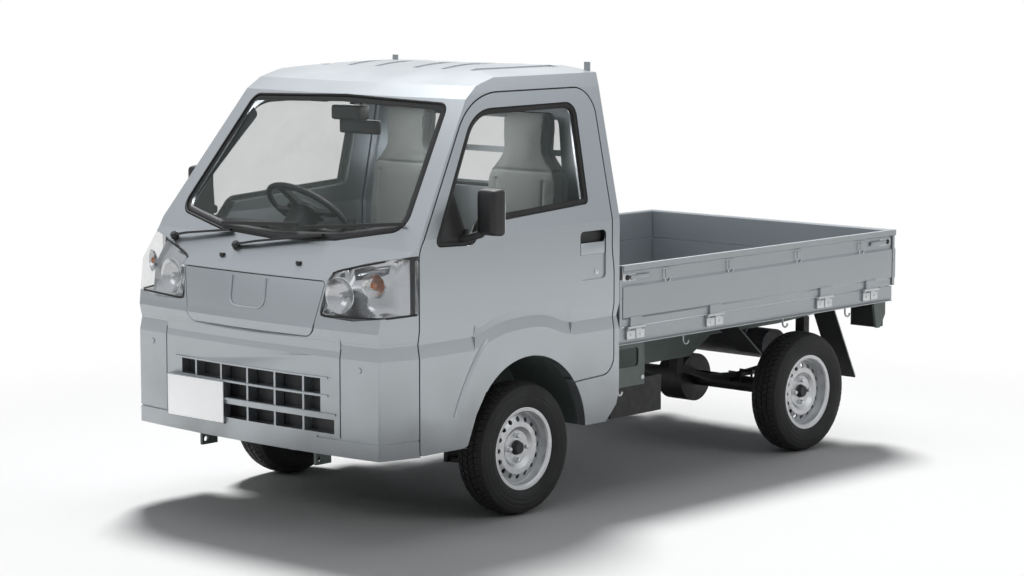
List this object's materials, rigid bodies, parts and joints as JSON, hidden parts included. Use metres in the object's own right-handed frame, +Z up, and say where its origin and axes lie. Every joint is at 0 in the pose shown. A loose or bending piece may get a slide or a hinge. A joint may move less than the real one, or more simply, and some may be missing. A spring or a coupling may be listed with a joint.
{
  "type": "kei truck",
  "caption": "Small cab-over pickup truck with two doors, a drop-side load bed, steered front wheels and steel disc wheels.",
  "frame": {"origin": "ground point under the middle of the truck's length and width", "axes": "-Y is forwards, +X is the vehicle's left side, +Z is up"},
  "size_m": [1.774, 3.395, 1.783],
  "materials": {
    "paint": "satin",
    "bed_paint": "satin",
    "frame_paint": "satin",
    "black_metal": "satin",
    "glass": "gloss",
    "lamp_lens": "gloss",
    "tail_lens": "gloss",
    "tyre": "matte",
    "wheel_steel": "satin",
    "bare_iron": "rough",
    "trim_plastic": "matte",
    "cabin_plastic": "matte",
    "seat_fabric": "woven"
  },
  "bodies": {
    "truck": {"cab_roof": "paint", "front_panel": "paint", "bumper": "paint", "cab_side_left": "paint", "cab_side_right": "paint", "cab_rear_wall": "paint", "garnish_lid": "paint", "headlamps": "lamp_lens", "windscreen": "glass", "rear_window": "glass", "cab_floor": "frame_paint", "dashboard": "cabin_plastic", "seat_cushions": "seat_fabric", "seat_backs": "seat_fabric", "wipers": "trim_plastic", "bed_floor": "bed_paint", "bed_headboard": "bed_paint", "guard_frame": "bed_paint", "frame_rails": "frame_paint", "cross_members": "frame_paint", "bed_brackets": "frame_paint", "engine": "bare_iron", "fuel_tank": "black_metal", "exhaust": "bare_iron", "front_suspension": "black_metal", "rear_axle": "black_metal", "leaf_springs": "black_metal", "mudguards": "trim_plastic", "tail_lamps": "tail_lens"},
    "door_left": {"door_left": "paint", "door_glass_left": "glass", "mirror_left": "trim_plastic"},
    "door_right": {"door_right": "paint", "door_glass_right": "glass", "mirror_right": "trim_plastic"},
    "steering_wheel": {"steering_wheel": "cabin_plastic"},
    "gate_left": {"gate_left": "bed_paint"},
    "gate_right": {"gate_right": "bed_paint"},
    "tailgate": {"tailgate": "bed_paint"},
    "knuckle_left": {"knuckle_left": "bare_iron"},
    "knuckle_right": {"knuckle_right": "bare_iron"},
    "wheel_front_left": {"wheel_front_left": "wheel_steel", "tyre_front_left": "tyre"},
    "wheel_front_right": {"wheel_front_right": "wheel_steel", "tyre_front_right": "tyre"},
    "wheel_rear_left": {"wheel_rear_left": "wheel_steel", "tyre_rear_left": "tyre"},
    "wheel_rear_right": {"wheel_rear_right": "wheel_steel", "tyre_rear_right": "tyre"}
  },
  "joints": [
    {"name": "door_left_hinge", "type": "hinge", "parent": "truck", "child": "door_left", "pos_m": [0.735, -1.4785, 0.9], "axis": [0, 0, -1], "range_deg": [0, 65]},
    {"name": "door_right_hinge", "type": "hinge", "parent": "truck", "child": "door_right", "pos_m": [-0.735, -1.4785, 0.9], "axis": [0, 0, 1], "range_deg": [0, 65]},
    {"name": "gate_left_hinge", "type": "hinge", "parent": "truck", "child": "gate_left", "pos_m": [0.731, 0.667, 0.69], "axis": [0, 1, 0], "range_deg": [0, 175]},
    {"name": "gate_right_hinge", "type": "hinge", "parent": "truck", "child": "gate_right", "pos_m": [-0.731, 0.667, 0.69], "axis": [0, -1, 0], "range_deg": [0, 175]},
    {"name": "tailgate_hinge", "type": "hinge", "parent": "truck", "child": "tailgate", "pos_m": [0, 1.6915, 0.69], "axis": [-1, 0, 0], "range_deg": [0, 170]},
    {"name": "steer_left", "type": "hinge", "parent": "truck", "child": "knuckle_left", "pos_m": [0.58092, -0.8565, 0.268], "axis": [-0.2137, 0, 0.9769], "range_deg": [-35, 35]},
    {"name": "steer_right", "type": "hinge", "parent": "truck", "child": "knuckle_right", "pos_m": [-0.58092, -0.8565, 0.268], "axis": [0.2137, 0, 0.9769], "range_deg": [-35, 35]},
    {"name": "steering_wheel_turn", "type": "hinge", "parent": "truck", "child": "steering_wheel", "pos_m": [-0.34, -1.0365, 1.17], "axis": [0, 0.6211, 0.7837], "range_deg": [-560, 560]},
    {"name": "spin_front_left", "type": "hinge", "parent": "knuckle_left", "child": "wheel_front_left", "pos_m": [0.6515, -0.8565, 0.268], "axis": [1, 0, 0], "continuous": true},
    {"name": "spin_front_right", "type": "hinge", "parent": "knuckle_right", "child": "wheel_front_right", "pos_m": [-0.6515, -0.8565, 0.268], "axis": [1, 0, 0], "continuous": true},
    {"name": "spin_rear_left", "type": "hinge", "parent": "truck", "child": "wheel_rear_left", "pos_m": [0.6515, 1.0435, 0.268], "axis": [1, 0, 0], "continuous": true},
    {"name": "spin_rear_right", "type": "hinge", "parent": "truck", "child": "wheel_rear_right", "pos_m": [-0.6515, 1.0435, 0.268], "axis": [1, 0, 0], "continuous": true}
  ],
  "couplings": [
    {"joint": "steer_right", "follows": "steer_left", "ratio": 1},
    {"joint": "steering_wheel_turn", "follows": "steer_left", "ratio": 16}
  ]
}
